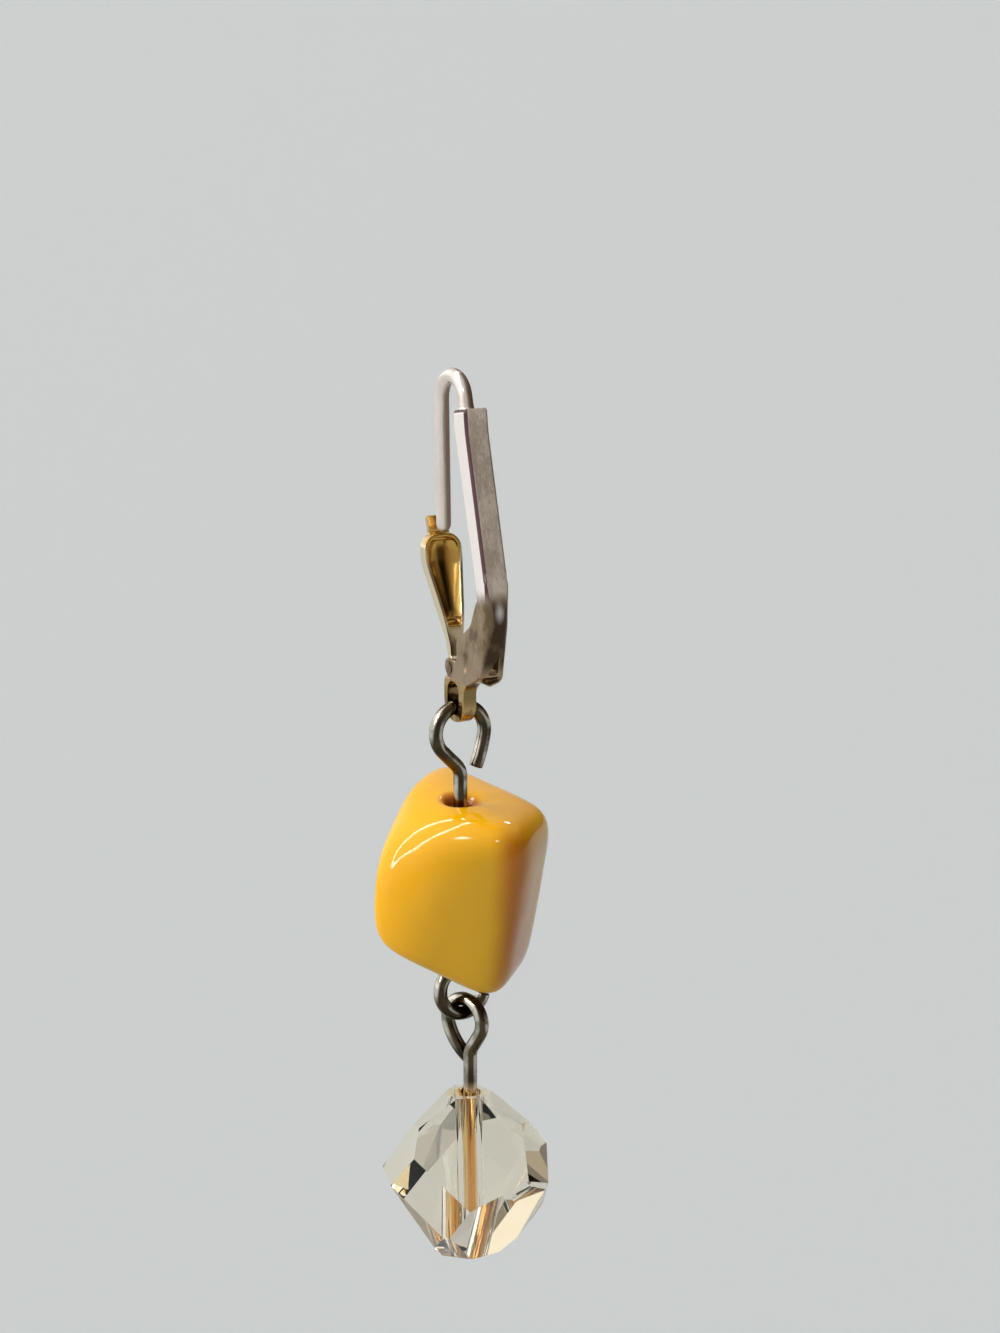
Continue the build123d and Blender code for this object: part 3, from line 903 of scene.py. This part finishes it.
def nugget_point(angle, tilt, squareness):
    """A point of the skin at an angle round the hole and a tilt from its top."""
    direction = Vector((cos(angle) * sin(tilt), sin(angle) * sin(tilt), cos(tilt)))
    reach = nugget_reach(direction, squareness)
    wave = noise.noise(direction * NUGGET_WAVE) * NUGGET_WAVE_DEPTH
    return direction * (reach + wave - NUGGET_WAVE_DEPTH)


def tilt_at(angle, away, squareness, down):
    """The tilt at which the skin is this far from the hole's middle line."""
    low, high = 0.0, pi / 3
    for _ in range(TILT_ROUNDS):
        middle = (low + high) / 2
        point = nugget_point(angle, pi - middle if down else middle, squareness)
        if sqrt(point.x ** 2 + point.y ** 2) < away:
            low = middle
        else:
            high = middle
    return pi - low if down else low


def nugget_column(angle, looks):
    """One line of points from the top hole over the skin and back up the hole's wall."""
    radius = looks.hole / MM / 2
    lip = looks.lip / MM
    flare = lip * (1 + MOUTH_WIDE * max(0.0, cos(angle - radians(MOUTH_TURN))) ** 2)
    around = Vector((cos(angle), sin(angle), 0))
    ends = {}
    for down in (False, True):
        points = []
        wide = lip if down else flare
        for step in range(NUGGET_LIP):
            turn = pi / 2 * step / NUGGET_LIP
            away = radius + wide * (1 - cos(turn))
            height = nugget_point(angle, tilt_at(angle, away, looks.squareness, down),
                                  looks.squareness).z
            sink = lip * (1 - sin(turn))
            points.append(around * away + Vector((0, 0, height + (sink if down else -sink))))
        ends[down] = points
    first = tilt_at(angle, radius + flare, looks.squareness, False)
    last = tilt_at(angle, radius + lip, looks.squareness, True)
    skin = [nugget_point(angle, first + (last - first) * step / NUGGET_DOWN, looks.squareness)
            for step in range(NUGGET_DOWN + 1)]
    column = ends[False] + skin + ends[True][::-1]
    foot, top = column[-1].z, column[0].z
    for step in range(1, NUGGET_WALL):
        height = foot + (top - foot) * step / NUGGET_WALL
        column.append(around * radius + Vector((0, 0, height)))
    return column


def nugget_mesh(looks):
    """The nugget's closed skin, with its hole, in metres."""
    columns = [nugget_column(2 * pi * k / NUGGET_AROUND, looks) for k in range(NUGGET_AROUND)]
    down = len(columns[0])
    points = [(point + NUGGET_CENTRE) * MM for column in columns for point in column]
    faces = []
    for k in range(NUGGET_AROUND):
        near, far = k * down, (k + 1) % NUGGET_AROUND * down
        for step in range(down):
            after = (step + 1) % down
            faces.append((near + step, near + after, far + after, far + step))
    mesh = bpy.data.meshes.new("nugget")
    mesh.from_pydata(points, [], faces)
    mesh.shade_smooth()
    return mesh


class EARRING_OT_nugget(bpy.types.Operator):
    """Shapes the polished nugget around its wire"""
    bl_idname = "earring.nugget"
    bl_label = "Shape the nugget"

    def execute(self, context):
        looks = context.scene.earring_nugget
        nugget = new_piece("nugget", nugget_mesh(looks))
        stand_for(nugget, "nugget_bead", "nugget_drop",
                  polished_nugget("yellow_nugget", looks))
        return {"FINISHED"}


def polished_nugget(name, looks):
    """Opaque yellow, slightly cloudy and highly polished."""
    material, n = new_material(name)
    vector, x, y, z = n.place()
    clouds = n.cloud(vector, 0.3, 2.0, 0.5)
    fine = n.cloud(vector, 2.2, 3.0, 0.6)
    turn = radians(NUGGET_TURN)
    right = x * cos(turn) + (y - LINK_Y) * sin(turn)
    # Painted shade grows towards the right and the bottom of the front
    middle = n.ramp(right + (clouds - 0.5) * 1.5 - (z + 23.4) * 0.5, -3.2, 0.6)
    # Painted shade and painted dark reflection on the right ridge, less on the right face
    ridge = n.ramp(right + (clouds - 0.5) * 0.8, 1.2, 2.4) * n.ramp(z, -19.6, -21.2)
    flank = n.ramp(right + (clouds - 0.5) * 0.5, 2.7, 3.7)
    away = (x * x + (y - LINK_Y) * (y - LINK_Y)) ** 0.5
    hole = (1 - n.ramp(away, 0.62, 1.2)) * n.ramp(abs(z + 23.0), 2.6, 3.2)
    colour = n.mix(middle * n.ramp(z, -19.9, -21.8), tuple(looks.honey), tuple(looks.shaded_honey))
    colour = n.mix(ridge * (1 - flank * 0.75), colour, tuple(looks.amber))
    # Painted shade inside the hole
    colour = n.mix(hole, colour, tuple(looks.hole_shade))
    n.surface({
        "Base Color": colour,
        "Roughness": 0.05 + fine * 0.05 + flank * 0.12,
        "IOR": 1.42,
        "Coat Weight": 0.1,
        "Coat Roughness": 0.03,
        "Subsurface Weight": 0.1,
        "Subsurface Radius": (0.8, 0.4, 0.1),
        "Subsurface Scale": 0.0008,
        "Normal": n.bump(fine, 0.12, NUGGET_GRAIN),
    })
    return material


class EARRING_OT_crystal(bpy.types.Operator):
    """Makes the cut bead of clear tinted glass"""
    bl_idname = "earring.crystal"
    bl_label = "Finish the crystal"

    def execute(self, context):
        looks = context.scene.earring_crystal
        material, n = new_material("clear_crystal")
        vector, x, y, z = n.place()
        low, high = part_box("crystal_bead")
        middle = (low + high) / 2 / MM
        across, along = x - middle.x, y - middle.y
        away = (across * across + along * along) ** 0.5
        amber = 1 - n.ramp(away, *HOLE_GLOW)
        facing = n.facing()
        tint = tuple(looks.tint)
        # Painted reflections: golden and olive tints on the flats facing these directions, over
        # the glass's champagne tint
        for direction, low, high, colour in FACET_REFLECTIONS:
            toward = n.ramp(n.along(facing, direction), low, high)
            tint = n.mix(toward, tint, linear(*colour))
        n.surface({
            "Base Color": n.mix(amber, tint, tuple(looks.amber)),
            "Roughness": n.cloud(vector, 3.0) * 0.02,
            "IOR": 1.56,
            "Transmission Weight": 1.0,
        })
        dress("crystal_bead", material)
        return {"FINISHED"}


class EARRING_OT_studio(bpy.types.Operator):
    """Sets the pale floor, the soft lights and the camera"""
    bl_idname = "earring.studio"
    bl_label = "Set the studio"

    def execute(self, context):
        looks = context.scene.earring_studio
        floor_sheet(looks)
        soft_world(looks)
        photo_camera(looks)
        return {"FINISHED"}


def floor_sheet(looks):
    """A wide level floor below the hanging earring."""
    mesh = bpy.data.meshes.new("floor")
    sides = ((-1, -1), (1, -1), (1, 1), (-1, 1))
    corners = [(x * FLOOR_REACH, y * FLOOR_REACH, looks.floor_height) for x, y in sides]
    mesh.from_pydata(corners, [], [(0, 1, 2, 3)])
    floor = new_piece("floor", mesh)
    material, n = new_material("pale_floor")
    n.surface({"Base Color": tuple(looks.floor), "Roughness": 0.9})
    mesh.materials.append(material)


def soft_world(looks):
    """Pale soft light, strong from the left and behind, with a ring lamp above on the left."""
    world = bpy.data.worlds.new("soft_studio")
    world.use_nodes = True
    n = Nodes(world.node_tree)
    way = n.node("ShaderNodeTexCoord", {}, {}, "Generated")
    rise = n.ramp(n.along(way, (0, 0, 1)), *SKY_RISE)
    light = n.mix(rise, tuple(looks.low_sky), tuple(looks.high_sky))
    for direction, low, high, colour in SKY_PATCHES:
        light = n.mix(n.ramp(n.along(way, direction), low, high), light, colour)
    ahead = n.along(way, RING_AIM)
    along = n.along(way, RING_LONG) / ahead * (1 / RING_SIZES[0])
    across = n.along(way, RING_AIM.cross(RING_LONG)) / ahead * (1 / RING_SIZES[1])
    ring = n.band((along * along + across * across) ** 0.5, *RING_BAND)
    glow = ring * n.ramp(ahead, *RING_FRONT)
    for direction, size in SPARKS:
        edge, full = cos(radians(size * SPARK_EDGE)), cos(radians(size))
        glow = greater(glow, n.ramp(n.along(way, direction), edge, full))
    light = n.mix(glow, light, (looks.ring, looks.ring, looks.ring))
    seen = n.node("ShaderNodeLightPath", {}, {}, "Is Camera Ray")
    light = n.mix(seen, light, tuple(looks.backdrop))
    shader = n.node("ShaderNodeBackground", {}, {"Color": light, "Strength": 1.0})
    n.node("ShaderNodeOutputWorld", {}, {"Surface": shader})
    bpy.context.scene.world = world


def photo_camera(looks):
    """The camera at the photograph's viewing angle."""
    up = CAMERA_BACK.cross(CAMERA_RIGHT)
    data = bpy.data.cameras.new("camera")
    data.sensor_fit = "VERTICAL"
    data.sensor_height = FILM_HEIGHT
    data.lens = looks.lens
    data.clip_start, data.clip_end = CAMERA_CLIP
    camera = bpy.data.objects.new("camera", data)
    turn = Matrix((CAMERA_RIGHT, up, CAMERA_BACK)).transposed()
    camera.matrix_world = Matrix.Translation(CAMERA_PLACE) @ turn.to_4x4()
    bpy.context.scene.collection.objects.link(camera)
    bpy.context.scene.camera = camera
    bpy.context.scene.view_settings.view_transform = "Standard"


class EARRING_PT_panel(bpy.types.Panel):
    """The earring's pieces in the sidebar"""
    bl_idname = "EARRING_PT_panel"
    bl_label = "Leverback earring"
    bl_space_type = "VIEW_3D"
    bl_region_type = "UI"
    bl_category = "Earring"

    def draw(self, context):
        for name, operator in zip(LOOKS, OPERATORS):
            box = self.layout.box()
            box.operator(operator.bl_idname)
            group = getattr(context.scene, name)
            for item in group.__annotations__:
                box.prop(group, item)


LOOKS = {
    "earring_finding": FindingLooks,
    "earring_lever": LeverLooks,
    "earring_wires": WireLooks,
    "earring_nugget": NuggetLooks,
    "earring_crystal": CrystalLooks,
    "earring_studio": StudioLooks,
}
OPERATORS = (
    EARRING_OT_finding,
    EARRING_OT_lever,
    EARRING_OT_wires,
    EARRING_OT_nugget,
    EARRING_OT_crystal,
    EARRING_OT_studio,
)
CLASSES = (*LOOKS.values(), *OPERATORS, EARRING_PT_panel)


def register():
    for item in CLASSES:
        bpy.utils.register_class(item)
    for name, group in LOOKS.items():
        setattr(bpy.types.Scene, name, bpy.props.PointerProperty(type=group))


def unregister():
    for name in LOOKS:
        delattr(bpy.types.Scene, name)
    for item in reversed(CLASSES):
        bpy.utils.unregister_class(item)


def main():
    register()
    bpy.ops.earring.finding()
    bpy.ops.earring.lever()
    bpy.ops.earring.wires()
    bpy.ops.earring.nugget()
    bpy.ops.earring.crystal()
    bpy.ops.earring.studio()


if __name__ == "__main__":
    main()
